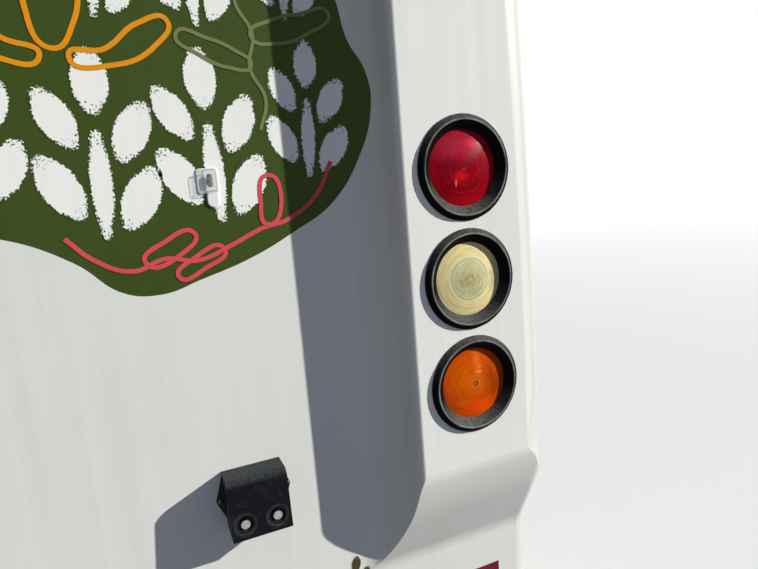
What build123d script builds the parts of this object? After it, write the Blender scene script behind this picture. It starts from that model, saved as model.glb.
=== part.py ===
"""Rear end cap of a shuttle bus: a moulded shell with lamp columns, round lamps, sensors and a window.

The origin is the middle of the lower run of the fixing flange, on its mating face.
+X is the vehicle's right, +Y points forwards into the body and +Z is up. Lengths are millimetres.
"""

import os
from math import atan2, cos, degrees, radians, sin, sqrt

from build123d import *

os.makedirs("parts", exist_ok=True)

# Shell, seen from behind
shell_thickness = 5.0
half_width = 1220.0
barrel_height = 560.0  # where the cap is widest
barrel_radius = 11000.0  # bulge of the sides
lower_edge = -20.0
lower_corner = 60.0
eaves_height = 2150.0
roof_rise = 90.0
roof_height = eaves_height + roof_rise
roof_corner = 250.0
wall_depth = 200.0  # from the mating face back to the wall
edge_radius = 40.0  # outer corner of the columns
wall_edge_radius = 18.0  # and of the wall and ramps, which cut that corner
flange_width = 45.0

# Lamp columns, which stand out from the wall
column_rise = 62.0
column_depth = wall_depth + column_rise
column_edge_x = half_width - 217.0  # sharp inner edge of the flat face
flank_run = 27.6  # how far the flank leans over the column's rise
flank_foot_radius = 75.0
flank_edge_radius = 10.0
column_foot_z = 262.0
column_head_z = eaves_height - 250.0
ramp_slope = 26.0
ramp_brow_angle = 14.0  # slope where the tight bend under the face gives way to the long one
ramp_brow_radius = 50.0
ramp_crown_radius = 340.0
ramp_foot_radius = 50.0
outer_skim = 0.02  # the recess stops this far above the wall plane, where the ramps run out
inner_skim = 0.2  # and this far on the inside

# Fixing holes along the flange
flange_hole_radius = 4.5
flange_hole_inset = 22.0
lower_hole_xs = (300.0, half_width - 320.0)
side_hole_zs = (120.0, 560.0, 1000.0, 1440.0, eaves_height - 270.0)
roof_hole_xs = (300.0, half_width - 420.0)

# Stiffeners bonded to the inside of the wall
stiffener_width = 70.0
stiffener_height = 30.0
stiffener_taper = 18.0
stiffener_half_length = column_edge_x - 126.0
stiffener_zs = {"lower_stiffener": 150.0, "middle_stiffener": 640.0}
window_stiffener_gap = 35.0

# Round lamps and their rubber grommets
lamp_x = half_width - 125.0
lamp_z = 690.0
lamp_pitch = 146.6
lamp_hole_radius = 57.15
grommet_radius = 68.3
grommet_height = 7.0
grommet_ridge_radius = 61.0
grommet_neck_gap = 0.15
grommet_back_lip = 61.0
grommet_back_depth = 25.0
lamp_radius = 54.0
lamp_groove_top = 4.0  # front of the lamp's rim, below the column's face
lamp_rim_thickness = 3.6
lamp_rim_gap = 0.1
lamp_sight_radius = 49.5
lamp_body_radius = 50.0
lamp_body_depth = 44.0
lamp_wall = 2.0
lens_crown = 1.0  # top of the lens above the column's face
plug_radius = 17.0
plug_depth = 9.0

# Rear window
window_half_width = half_width - 470.0
window_sill_z = 1210.0
window_head_z = 1770.0
window_corner = 90.0
glass_thickness = 5.0
gasket_web = 8.0
gasket_lip = 12.0
gasket_lip_thickness = 5.0
gasket_bead_width = 7.0
gasket_bead_rise = 1.5

# Reversing sensors
sensor_x = lamp_x - 306.5
sensor_z = 444.0
sensor_half_width = 37.5
sensor_half_height = 38.0
sensor_top_depth = 39.0
sensor_foot_depth = 43.0
sensor_brow_radius = 9.0
sensor_ear_reach = 48.0
sensor_ear_half_height = 30.0
sensor_ear_thickness = 4.0
horn_x = 20.2
horn_drop = 18.5
horn_mouth_radius = 17.0
horn_throat_radius = 9.0
horn_depth = 1.5
throat_depth = 7.0
disc_radius = 6.5
disc_length = 6.5

# Small white lamps beside the columns
small_lamp_x = lamp_x - 315.0
small_lamp_z = 844.0
small_lens_width = 22.0  # at the base; the face is narrower and stands off centre
small_lens_height = 27.5
small_lens_depth = 6.5
small_face_width = 15.0
small_face_height = 25.5
small_face_shift = 1.9  # outwards
small_lens_corner = 3.0
small_lens_wall = 1.3
small_base_thickness = 1.5
small_base_border = 0.8
small_tongue_width = 14.0
small_tongue_shift = 4.0
small_tongue_drop = 31.6
small_tongue_thickness = 2.6
small_bulb_radius = 2.6
small_bulb_height = 3.4

# Marker lamps above the window
marker_pitch = 165.0
clearance_x = half_width - 320.0
marker_xs = {"left_clearance": -clearance_x, "left_marker": -marker_pitch, "middle_marker": 0.0,
             "right_marker": marker_pitch, "right_clearance": clearance_x}
marker_z = eaves_height - 115.0
marker_length = 104.0
marker_height = 42.0
marker_base_depth = 8.0
marker_lens_border = 6.0
marker_lens_depth = 14.0
marker_lens_wall = 2.0

sides = {"right": 1, "left": -1}


def save(builder, name):
    """Label a finished piece and write its file."""
    builder.part.label = name
    export_step(builder.part, f"parts/{name}.step")


def side_x(height):
    """Half width of the cap at a height."""
    return half_width - barrel_radius + sqrt(barrel_radius**2 - (height - barrel_height) ** 2)


def roof_z(x):
    """Height of the roof's crown at a distance from the middle."""
    reach = side_x(eaves_height)
    rise = roof_height - eaves_height
    radius = (reach**2 + rise**2) / (2 * rise)
    return roof_height - radius + sqrt(radius**2 - x**2)


def rear_outline(inset):
    """Outline of the cap from behind, set in by inset."""
    foot = (side_x(lower_edge), lower_edge)
    eaves = (side_x(eaves_height), eaves_height)
    with BuildSketch(Plane.XZ) as outline:
        with BuildLine():
            Line((-foot[0], foot[1]), foot)
            ThreePointArc(foot, (half_width, barrel_height), eaves)
            ThreePointArc(eaves, (0, roof_height), (-eaves[0], eaves[1]))
            ThreePointArc((-eaves[0], eaves[1]), (-half_width, barrel_height), (-foot[0], foot[1]))
        make_face()
        fillet(outline.vertices().group_by(Axis.Y)[0], lower_corner)
        fillet(outline.vertices().group_by(Axis.Y)[-1], roof_corner)
        if inset:
            offset(amount=-inset, mode=Mode.REPLACE)
    return outline.sketch


def side_outline(inset):
    """Side view of the cap at a column, set in by inset: wall, ramp, column face, ramp and wall again."""
    slope = radians(ramp_slope)
    brow = radians(ramp_brow_angle)
    bends_rise = (
        ramp_foot_radius * (1 - cos(slope))
        + ramp_crown_radius * (cos(brow) - cos(slope))
        + ramp_brow_radius * (1 - cos(brow))
    )
    straight_length = (column_rise - bends_rise) / sin(slope)
    middle = (column_foot_z + column_head_z) / 2
    bottom = middle - roof_height
    with BuildSketch(Plane.YZ) as side:
        with BuildLine():
            Polyline((column_rise, middle), (column_rise, bottom), (-wall_depth, bottom))
            wall = Line((-wall_depth, bottom), (-wall_depth, column_foot_z))
            foot_bend = JernArc(wall @ 1, wall % 1, ramp_foot_radius, ramp_slope)
            straight = PolarLine(foot_bend @ 1, straight_length, direction=foot_bend % 1)
            crown = JernArc(straight @ 1, straight % 1, ramp_crown_radius, ramp_brow_angle - ramp_slope)
            brow_bend = JernArc(crown @ 1, crown % 1, ramp_brow_radius, -ramp_brow_angle)
            Line(brow_bend @ 1, (-column_depth, middle))
            mirror(about=Plane(origin=(0, middle, 0), z_dir=(0, 1, 0)))
        make_face()
        if inset:
            offset(amount=-inset, mode=Mode.REPLACE)
    return side.sketch


def recess_plan(inset, skim):
    """Plan of the recess between the two columns, let out by inset, with its floor skim above the wall."""
    floor_y = -wall_depth - skim
    rim_y = -column_depth
    outside_y = rim_y - column_rise
    foot_x = column_edge_x - flank_run
    rim_x = column_edge_x + 2 * flank_edge_radius
    with BuildSketch(Plane.XY.offset(column_foot_z - column_rise)) as plan:
        with BuildLine():
            Polyline(
                (-foot_x, floor_y),
                (foot_x, floor_y),
                (column_edge_x, rim_y),
                (rim_x, rim_y),
                (rim_x, outside_y),
                (-rim_x, outside_y),
                (-rim_x, rim_y),
                (-column_edge_x, rim_y),
                close=True,
            )
        make_face()
        fillet(plan.vertices().group_by(Axis.Y)[-1], flank_foot_radius)
        edges_at_rim = plan.vertices().filter_by(
            lambda v: abs(v.Y - rim_y) < 0.01 and abs(v.X) < column_edge_x + flank_edge_radius
        )
        fillet(edges_at_rim, flank_edge_radius)
        if inset:
            offset(amount=inset, mode=Mode.REPLACE)
    return plan.sketch


def moulding(inset, skim):
    """The cap's whole form as a solid, every outer face but the mating one set in by inset."""
    outline = rear_outline(inset)
    side = side_outline(inset)
    recess = recess_plan(inset, skim)
    recess_height = column_head_z - column_foot_z + 2 * column_rise
    with BuildPart() as block:
        extrude(outline, amount=column_depth - inset)
        fillet(block.faces().sort_by(Axis.Y)[0].edges(), edge_radius - inset)
    with BuildPart() as form:
        extrude(outline, amount=column_depth + column_rise)
        extrude(side, amount=half_width + column_rise, both=True, mode=Mode.INTERSECT)
        mating_face = form.faces().sort_by(Axis.Y)[-1]
        walls = form.faces().filter_by(lambda f: f.bounding_box().max.Y > -1) - [mating_face]
        rims = ShapeList(set(walls.edges())) - mating_face.edges()
        fillet(rims.filter_by(Axis.Y, reverse=True), wall_edge_radius - inset)
        add(block.part, mode=Mode.INTERSECT)
        extrude(recess, amount=recess_height, dir=(0, 0, 1), mode=Mode.SUBTRACT)
    return form.part


def window_sketch(growth, plane):
    """The window's rounded opening in the wall, let out by growth, on a plane facing backwards."""
    with BuildSketch(plane) as opening:
        with Locations((0, (window_sill_z + window_head_z) / 2)):
            RectangleRounded(
                2 * (window_half_width + growth),
                window_head_z - window_sill_z + 2 * growth,
                window_corner + growth,
            )
    return opening.sketch


def backward(x, depth, z):
    """A plane square to the wall, facing backwards, with its own x to the right and y up."""
    return Plane(origin=(x, -depth, z), x_dir=(1, 0, 0), z_dir=(0, -1, 0))


# Every fixing hole of the flange, as a point on the mating plane
flange_holes = [(side * x, 0) for side in (1, -1) for x in lower_hole_xs]
flange_holes += [(side * (side_x(z) - flange_hole_inset), z) for side in (1, -1) for z in side_hole_zs]
flange_holes += [(side * x, roof_z(x) - flange_hole_inset) for side in (1, -1) for x in roof_hole_xs]

lamp_rows = {"stop": lamp_z + lamp_pitch, "reverse": lamp_z, "turn": lamp_z - lamp_pitch}

# The moulded shell, with its flange, window opening and lamp holes
outer_form = moulding(0, outer_skim)
inner_form = moulding(shell_thickness, inner_skim)
flange_outline = rear_outline(0)
flange_opening = rear_outline(flange_width)
with BuildPart() as rear_skin:
    add(outer_form)
    add(inner_form, mode=Mode.SUBTRACT)
    extrude(flange_outline - flange_opening, amount=shell_thickness)
    with BuildSketch(Plane.XZ):
        with Locations(*flange_holes):
            Circle(flange_hole_radius)
    extrude(amount=shell_thickness, mode=Mode.SUBTRACT)
    extrude(window_sketch(0, backward(0, wall_depth - 2 * shell_thickness, 0)),
            amount=3 * shell_thickness, mode=Mode.SUBTRACT)
    for side in sides.values():
        for height in lamp_rows.values():
            with BuildSketch(backward(side * lamp_x, column_depth - 2 * shell_thickness, height)):
                Circle(lamp_hole_radius)
            extrude(amount=3 * shell_thickness, mode=Mode.SUBTRACT)
save(rear_skin, "rear_skin")

# Foam-cored stiffeners on the inner face of the wall
wall_face = wall_depth + outer_skim  # depth of the wall between the columns
inner_wall = wall_depth + inner_skim - shell_thickness
recess_plane = Plane(origin=(0, -inner_wall, 0), x_dir=(-1, 0, 0), z_dir=(0, 1, 0))
for name, height in stiffener_zs.items():
    stiffener_plane = recess_plane if height > column_foot_z else recess_plane.offset(inner_skim)
    with BuildPart() as stiffener:
        with BuildSketch(stiffener_plane):
            with Locations((0, height)):
                Rectangle(2 * stiffener_half_length, stiffener_width)
        extrude(amount=stiffener_height, taper=stiffener_taper)
    save(stiffener, name)

with BuildPart() as window_stiffener:
    inner_ring = window_sketch(window_stiffener_gap, recess_plane)
    outer_ring = window_sketch(window_stiffener_gap + stiffener_width, recess_plane)
    extrude(outer_ring, amount=stiffener_height, taper=stiffener_taper)
    extrude(inner_ring, amount=stiffener_height, taper=-stiffener_taper, mode=Mode.SUBTRACT)
save(window_stiffener, "window_stiffener")

# Round lamps: a rubber grommet in the shell, the lamp's body and its lens
rim_front = column_depth - lamp_groove_top
rim_back = rim_front - lamp_rim_thickness
lens_back = rim_front - lamp_rim_thickness / 2
for side_name, side in sides.items():
    for row, height in lamp_rows.items():
        lamp = Plane(origin=(side * lamp_x, 0, height), x_dir=(1, 0, 0), z_dir=(0, 0, 1))
        axis = Axis((side * lamp_x, 0, height), (0, 1, 0))
        neck = lamp_hole_radius - grommet_neck_gap
        inner_face = column_depth - shell_thickness

        with BuildPart() as grommet:
            with BuildSketch(lamp):
                with BuildLine():
                    brim = Polyline(
                        (neck, -column_depth),
                        (grommet_radius, -column_depth),
                        (grommet_radius, -column_depth - 1.5),
                        (grommet_ridge_radius + 1.6, -column_depth - grommet_height + 1.2),
                    )
                    ridge = ThreePointArc(
                        brim @ 1,
                        (grommet_ridge_radius, -column_depth - grommet_height),
                        (grommet_ridge_radius - 1.5, -column_depth - grommet_height + 1.0),
                    )
                    Polyline(
                        ridge @ 1,
                        (lamp_sight_radius + 0.4, -rim_front - 1.4),
                        (lamp_sight_radius, -rim_front - 0.8),
                        (lamp_sight_radius, -rim_front),
                        (lamp_radius + lamp_rim_gap, -rim_front),
                        (lamp_radius + lamp_rim_gap, -rim_back),
                        (lamp_body_radius + 1.0, -rim_back),
                        (lamp_body_radius + 0.3, -column_depth + grommet_back_depth),
                        (lamp_radius, -column_depth + grommet_back_depth),
                        (grommet_back_lip, -inner_face + 4.0),
                        (grommet_back_lip, -inner_face),
                        (neck, -inner_face),
                        (neck, -column_depth),
                    )
                make_face()
            revolve(axis=axis)
        save(grommet, f"{side_name}_{row}_grommet")

        with BuildPart() as body:
            with BuildSketch(lamp):
                with BuildLine():
                    shell = Polyline(
                        (0, -rim_back + lamp_body_depth),
                        (plug_radius, -rim_back + lamp_body_depth),
                        (lamp_body_radius - 6.0, -rim_back + lamp_body_depth * 0.5),
                        (lamp_body_radius - 0.2, -rim_back),
                        (lamp_radius, -rim_back),
                        (lamp_radius, -lens_back),
                        (lamp_sight_radius - lamp_wall, -lens_back),
                    )
                    bowl = ThreePointArc(
                        shell @ 1,
                        (lamp_body_radius * 0.7, -rim_back + lamp_body_depth * 0.36),
                        (10.0, -rim_back + lamp_body_depth - 2 * lamp_wall),
                    )
                    Polyline(
                        bowl @ 1,
                        (0, -rim_back + lamp_body_depth - 2 * lamp_wall),
                        (0, -rim_back + lamp_body_depth),
                    )
                make_face()
            revolve(axis=axis)
            plug_face = Plane(
                origin=(side * lamp_x, -rim_back + lamp_body_depth, height),
                x_dir=(1, 0, 0),
                z_dir=(0, 1, 0),
            )
            with BuildSketch(plug_face):
                Circle(plug_radius - 1.0)
                RectangleRounded(2 * plug_radius - 10, 2 * plug_radius - 18, 2.0, mode=Mode.SUBTRACT)
            extrude(amount=plug_depth)
            with BuildSketch(plug_face):
                with PolarLocations(5.0, 3):
                    Circle(1.2)
            extrude(amount=plug_depth - 2.0)
        save(body, f"{side_name}_{row}_lamp_body")

        with BuildPart() as lens:
            with BuildSketch(lamp):
                with BuildLine():
                    rim = Polyline(
                        (0, -column_depth - lens_crown + lamp_wall),
                        (0, -column_depth - lens_crown),
                    )
                    dome = TangentArc(
                        rim @ 1, (lamp_sight_radius - 1.2, -rim_front - 0.2), tangent=(1, 0)
                    )
                    edge = Polyline(
                        dome @ 1,
                        (lamp_sight_radius - 0.4, -rim_front),
                        (lamp_radius, -rim_front),
                        (lamp_radius, -lens_back),
                        (lamp_sight_radius - lamp_wall - 1.0, -lens_back),
                    )
                    TangentArc(rim @ 0, edge @ 1, tangent=(1, 0))
                make_face()
            revolve(axis=axis)
        save(lens, f"{side_name}_{row}_lens")

# Rear window: glass held in the opening by a rubber gasket with a locking bead
with BuildPart() as window_glass:
    extrude(window_sketch(-gasket_web, backward(0, inner_wall, 0)), amount=glass_thickness)
save(window_glass, "window_glass")

with BuildPart() as window_gasket:
    lip_outside = window_sketch(gasket_lip, backward(0, wall_face, 0))
    lip_inside = window_sketch(-gasket_web - gasket_lip, backward(0, wall_face, 0))
    extrude(lip_outside - lip_inside, amount=gasket_lip_thickness)
    crests = window_gasket.faces().sort_by(Axis.Y)[0].edges()
    fillet(crests, gasket_lip_thickness * 0.6)
    web_outside = window_sketch(0, backward(0, inner_wall, 0))
    web_inside = window_sketch(-gasket_web, backward(0, inner_wall, 0))
    extrude(web_outside - web_inside, amount=wall_face - inner_wall)
    back_outside = window_sketch(gasket_lip, backward(0, inner_wall - gasket_lip_thickness, 0))
    back_inside = window_sketch(-gasket_web - gasket_lip, backward(0, inner_wall - gasket_lip_thickness, 0))
    extrude(back_outside - back_inside, amount=gasket_lip_thickness)
save(window_gasket, "window_gasket")

bead_centre = -gasket_web / 2
with BuildPart() as window_bead:
    bead_plane = backward(0, wall_face + gasket_lip_thickness, 0)
    bead_outside = window_sketch(bead_centre + gasket_bead_width / 2, bead_plane)
    bead_inside = window_sketch(bead_centre - gasket_bead_width / 2, bead_plane)
    extrude(bead_outside - bead_inside, amount=gasket_bead_rise)
    fillet(window_bead.faces().sort_by(Axis.Y)[0].edges(), gasket_bead_rise * 0.7)
save(window_bead, "window_bead")

# Reversing sensors: a housing with two horns, and the transducer discs in their throats
front_slope = degrees(atan2(sensor_foot_depth - sensor_top_depth, 2 * sensor_half_height))
for side_name, side in sides.items():
    centre_x = side * sensor_x
    front_depth = wall_face + (sensor_top_depth + sensor_foot_depth) / 2
    front = Plane(origin=(centre_x, -front_depth, sensor_z), x_dir=(1, 0, 0), z_dir=(0, -1, 0))
    front = front.rotated((-front_slope, 0, 0))
    horn_places = [(-horn_x, -horn_drop), (horn_x, -horn_drop)]
    with BuildPart() as housing:
        with BuildSketch(Plane.YZ.offset(centre_x)) as profile:
            with BuildLine():
                Polyline(
                    (-wall_face, sensor_z - sensor_half_height),
                    (-wall_face - sensor_foot_depth, sensor_z - sensor_half_height),
                    (-wall_face - sensor_top_depth, sensor_z + sensor_half_height),
                    (-wall_face, sensor_z + sensor_half_height),
                    close=True,
                )
            make_face()
            brow = profile.vertices().filter_by(lambda v: v.X < -wall_face - 1).sort_by(Axis.Y)[-1]
            fillet(brow, sensor_brow_radius)
        extrude(amount=sensor_half_width, both=True)
        with BuildSketch(backward(centre_x, wall_face, sensor_z)):
            with BuildLine():
                Polyline(
                    (-sensor_ear_reach, 0),
                    (0, sensor_ear_half_height),
                    (sensor_ear_reach, 0),
                    (0, -sensor_ear_half_height),
                    close=True,
                )
            make_face()
        extrude(amount=sensor_ear_thickness)
        with BuildSketch(front):
            with Locations(*horn_places):
                Circle(horn_throat_radius)
        extrude(amount=-throat_depth, mode=Mode.SUBTRACT)
        for place in horn_places:
            with BuildSketch(front.offset(-horn_depth)):
                with Locations(place):
                    Circle(horn_throat_radius)
            with BuildSketch(front):
                with Locations(place):
                    Circle(horn_mouth_radius)
            loft(mode=Mode.SUBTRACT)
    save(housing, f"{side_name}_sensor_housing")

    with BuildPart() as discs:
        with BuildSketch(front.offset(-throat_depth)):
            with Locations(*horn_places):
                Circle(disc_radius)
        extrude(amount=disc_length)
    save(discs, f"{side_name}_sensor_discs")

# Small white lamps: a base with a tongue, a bulb on it and a clear lens with one long slope
tongue_middle = (small_tongue_drop - small_tongue_width / 2) / 2
for side_name, side in sides.items():
    seat = backward(side * small_lamp_x, wall_face, small_lamp_z)
    with BuildPart() as base:
        with BuildSketch(seat):
            with Locations((side * small_tongue_shift, -tongue_middle)):
                SlotOverall(2 * tongue_middle + small_tongue_width, small_tongue_width, rotation=90)
        extrude(amount=small_tongue_thickness)
        fillet(base.faces().sort_by(Axis.Y)[0].edges(), small_tongue_thickness / 2)
        with BuildSketch(seat):
            RectangleRounded(
                small_lens_width + 2 * small_base_border,
                small_lens_height + 2 * small_base_border,
                small_lens_corner + small_base_border,
            )
        extrude(amount=small_base_thickness)
        with BuildSketch(seat.offset(small_base_thickness)):
            RectangleRounded(small_lens_width, small_lens_height, small_lens_corner)
        extrude(amount=small_tongue_thickness, mode=Mode.SUBTRACT)
        with BuildSketch(seat.offset(small_base_thickness)):
            Circle(small_bulb_radius)
        extrude(amount=small_bulb_height)
        fillet(base.faces().sort_by(Axis.Y)[0].edges(), small_bulb_radius * 0.6)
    save(base, f"{side_name}_small_lamp_base")

    with BuildPart() as small_lens:
        for wall, mode in ((0, Mode.ADD), (small_lens_wall, Mode.SUBTRACT)):
            corner = small_lens_corner - wall
            with BuildSketch(seat.offset(small_base_thickness)):
                RectangleRounded(small_lens_width - 2 * wall, small_lens_height - 2 * wall, corner)
            with BuildSketch(seat.offset(small_base_thickness + small_lens_depth - wall)):
                with Locations((side * small_face_shift, 0)):
                    RectangleRounded(small_face_width - 2 * wall, small_face_height - 2 * wall, corner)
            loft(mode=mode)
            if mode == Mode.ADD:
                fillet(small_lens.faces().sort_by(Axis.Y)[0].edges(), small_lens_wall / 2)
    save(small_lens, f"{side_name}_small_lamp_lens")

# Marker lamps: a base on the wall and a domed lens
for name, place_x in marker_xs.items():
    seat = backward(place_x, wall_depth, marker_z)
    lens_length = marker_length - 2 * marker_lens_border
    lens_height = marker_height - 2 * marker_lens_border
    with BuildPart() as base:
        with BuildSketch(seat):
            SlotOverall(marker_length, marker_height)
        extrude(amount=marker_base_depth)
        fillet(base.faces().sort_by(Axis.Y)[0].edges(), 2.0)
    save(base, f"{name}_base")
    with BuildPart() as marker_lens:
        with BuildSketch(seat.offset(marker_base_depth)):
            SlotOverall(lens_length, lens_height)
        extrude(amount=marker_lens_depth, taper=8)
        fillet(marker_lens.faces().sort_by(Axis.Y)[0].edges(), 6.0)
        with BuildSketch(seat.offset(marker_base_depth)):
            SlotOverall(lens_length - 2 * marker_lens_wall, lens_height - 2 * marker_lens_wall)
        extrude(amount=marker_lens_depth - 2 * marker_lens_wall, taper=8, mode=Mode.SUBTRACT)
    save(marker_lens, f"{name}_lens")
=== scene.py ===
"""The looks of a shuttle bus's rear end cap: gelcoat, vinyl, rubber, lamp lenses, sensors, marker lamps."""
import math

import bpy
from mathutils import Matrix, Vector


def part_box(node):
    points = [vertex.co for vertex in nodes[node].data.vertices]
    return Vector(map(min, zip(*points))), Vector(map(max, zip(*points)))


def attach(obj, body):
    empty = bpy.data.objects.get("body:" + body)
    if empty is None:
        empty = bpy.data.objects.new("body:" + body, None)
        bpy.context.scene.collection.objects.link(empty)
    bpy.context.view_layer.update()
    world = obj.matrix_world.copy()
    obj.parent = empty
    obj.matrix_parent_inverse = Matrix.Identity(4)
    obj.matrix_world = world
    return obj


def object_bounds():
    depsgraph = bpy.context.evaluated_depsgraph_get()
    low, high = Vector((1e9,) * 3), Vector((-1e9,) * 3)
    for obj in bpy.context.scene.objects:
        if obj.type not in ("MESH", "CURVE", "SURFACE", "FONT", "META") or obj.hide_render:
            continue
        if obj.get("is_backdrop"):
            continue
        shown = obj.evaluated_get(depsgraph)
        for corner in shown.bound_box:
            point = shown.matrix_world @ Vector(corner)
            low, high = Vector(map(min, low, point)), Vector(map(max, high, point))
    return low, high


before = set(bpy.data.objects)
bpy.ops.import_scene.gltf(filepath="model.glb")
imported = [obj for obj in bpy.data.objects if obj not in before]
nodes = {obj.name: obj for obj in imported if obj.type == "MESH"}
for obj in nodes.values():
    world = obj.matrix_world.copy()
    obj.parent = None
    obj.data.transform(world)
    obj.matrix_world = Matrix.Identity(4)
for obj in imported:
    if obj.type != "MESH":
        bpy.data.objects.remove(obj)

cad_low, cad_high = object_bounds()


# Moulded shell. Glass laminate laid up in a female mould, with white gelcoat on its outer face and
# the raw laminate left on its inner one. It is bolted to the body by its flange. Rain has drawn
# faint grey streaks down the gelcoat.

def srgb(red, green, blue):
    """A screen colour, 0 to 255 a channel, as the linear colour a shader takes."""
    def linear(value):
        value = value / 255
        return value / 12.92 if value <= 0.04045 else ((value + 0.055) / 1.055) ** 2.4
    return (linear(red), linear(green), linear(blue), 1.0)


def finish_material(name, colour, roughness, **settings):
    """A material with its Principled shader, and that shader's inputs and its node tree."""
    material = bpy.data.materials.new(name)
    material.use_nodes = True
    shader = material.node_tree.nodes["Principled BSDF"]
    shader.inputs["Base Color"].default_value = colour
    shader.inputs["Roughness"].default_value = roughness
    for key, value in settings.items():
        shader.inputs[key.replace("_", " ")].default_value = value
    return material, shader, material.node_tree


def put(tree, kind, settings=None, **inputs):
    """A node in a tree, with its settings and the values or links of its inputs."""
    node = tree.nodes.new(kind)
    for key, value in (settings or {}).items():
        setattr(node, key, value)
    for key, value in inputs.items():
        numbered = key[0] == "i" and key[1:].isdigit()
        socket = node.inputs[int(key[1:]) if numbered else key.replace("_", " ")]
        if isinstance(value, bpy.types.NodeSocket):
            tree.links.new(value, socket)
        else:
            socket.default_value = value
    return node


def math_step(tree, operation, first, second=0.0):
    """The output of one Math node."""
    return put(tree, "ShaderNodeMath", {"operation": operation}, i0=first, i1=second).outputs["Value"]


def vector_step(tree, operation, first, second=(0.0, 0.0, 0.0), output="Vector"):
    """The output of one Vector Math node."""
    return put(tree, "ShaderNodeVectorMath", {"operation": operation}, i0=first, i1=second).outputs[output]


def ramp(tree, value, low, high, bottom=0.0, top=1.0):
    """A value stretched from low..high to bottom..top and held there."""
    return put(tree, "ShaderNodeMapRange", None, Value=value, From_Min=low, From_Max=high,
               To_Min=bottom, To_Max=top).outputs["Result"]


def blend_colours(tree, mask, first, second):
    """The colour between two, by a mask."""
    mix = put(tree, "ShaderNodeMix", {"data_type": "RGBA"}, Factor=mask)
    for socket, colour in ((mix.inputs[6], first), (mix.inputs[7], second)):
        if isinstance(colour, bpy.types.NodeSocket):
            tree.links.new(colour, socket)
        else:
            socket.default_value = colour
    return mix.outputs[2]


def paint(tree, shader, colour):
    """Feeds a colour to the shader's base colour."""
    tree.links.new(colour, shader.inputs["Base Color"])


def split(tree, vector):
    """The outputs X, Y and Z of a vector."""
    return put(tree, "ShaderNodeSeparateXYZ", None, Vector=vector).outputs


def surface_normal(tree):
    """The way a surface faces."""
    return put(tree, "ShaderNodeNewGeometry").outputs["Normal"]


def own_coordinates(tree, centre=(0.0, 0.0, 0.0), scale=(1.0, 1.0, 1.0)):
    """Object coordinates measured from a centre and scaled."""
    where = put(tree, "ShaderNodeTexCoord").outputs["Object"]
    shift = tuple(-place * size for place, size in zip(centre, scale))
    return put(tree, "ShaderNodeMapping", None, Vector=where, Location=shift, Scale=scale).outputs["Vector"]


def noise(tree, vector, scale, detail=3.0, roughness=0.55):
    """The value of a noise texture."""
    return put(tree, "ShaderNodeTexNoise", None, Vector=vector, Scale=scale, Detail=detail,
               Roughness=roughness).outputs["Fac"]


def strand_print(tree, vector, scale):
    """The print of chopped strands in a laminate, as a value."""
    return put(tree, "ShaderNodeTexVoronoi", {"distance": "MANHATTAN"}, Vector=vector,
               Scale=scale).outputs["Distance"]


def roughen(tree, shader, height, strength, distance):
    """Feeds a height to the shader's normal through a Bump node."""
    bump = put(tree, "ShaderNodeBump", None, Strength=strength, Distance=distance, Height=height)
    tree.links.new(bump.outputs["Normal"], shader.inputs["Normal"])


def new_group(name, inputs, outputs):
    """A shader node group with named sockets, and the nodes at its two ends."""
    group = bpy.data.node_groups.new(name, "ShaderNodeTree")
    for socket, kind, default in inputs:
        made = group.interface.new_socket(socket, in_out="INPUT", socket_type=kind)
        if default is not None:
            made.default_value = default
    for socket in outputs:
        group.interface.new_socket(socket, in_out="OUTPUT", socket_type="NodeSocketFloat")
    return group, group.nodes.new("NodeGroupInput").outputs, group.nodes.new("NodeGroupOutput").inputs


def use_group(tree, group, **inputs):
    """The outputs of a node group placed in a tree."""
    return put(tree, "ShaderNodeGroup", {"node_tree": group}, **inputs).outputs


def dress(name, material):
    """Gives a node of the frame its material."""
    mesh = nodes[name].data
    mesh.materials.clear()
    mesh.materials.append(material)


rain_streaks, given, made = new_group(
    "rain_streaks", [("Vector", "NodeSocketVector", None), ("Amount", "NodeSocketFloat", 0.5)], ["Mask"])
drawn_out = put(rain_streaks, "ShaderNodeMapping", None, Vector=given["Vector"], Scale=(55.0, 55.0, 1.1))
fine_rain = noise(rain_streaks, drawn_out.outputs["Vector"], 1.0, detail=6.0, roughness=0.62)
broad_rain = noise(rain_streaks, given["Vector"], 3.1)
rain = ramp(rain_streaks, math_step(rain_streaks, "MULTIPLY", fine_rain, broad_rain), 0.2, 0.42)
rain_streaks.links.new(math_step(rain_streaks, "MULTIPLY", rain, given["Amount"]), made["Mask"])

gelcoat, shader, tree = finish_material(
    "white_gelcoat", srgb(236, 237, 232), 0.36, Coat_Weight=0.06, Coat_Roughness=0.12, Specular_IOR_Level=0.2)
where = own_coordinates(tree)
place = split(tree, where)
chalk = noise(tree, where, 2.2, detail=4.0, roughness=0.6)
chalky = blend_colours(tree, chalk, srgb(239, 240, 234), srgb(231, 232, 227))
column_depth, wall_depth = -0.262, -0.205
# The gelcoat is made darker the further back it lies behind the columns' face.
set_back_share = ramp(tree, place["Y"], column_depth, wall_depth, 0.0, 0.45)
darker_set_back = blend_colours(tree, set_back_share, chalky, srgb(212, 214, 211))
rain_mask = use_group(tree, rain_streaks, Vector=where, Amount=0.24)["Mask"]
streaked = blend_colours(tree, rain_mask, darker_set_back, srgb(192, 193, 186))
normal = surface_normal(tree)
turns = split(tree, normal)
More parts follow.
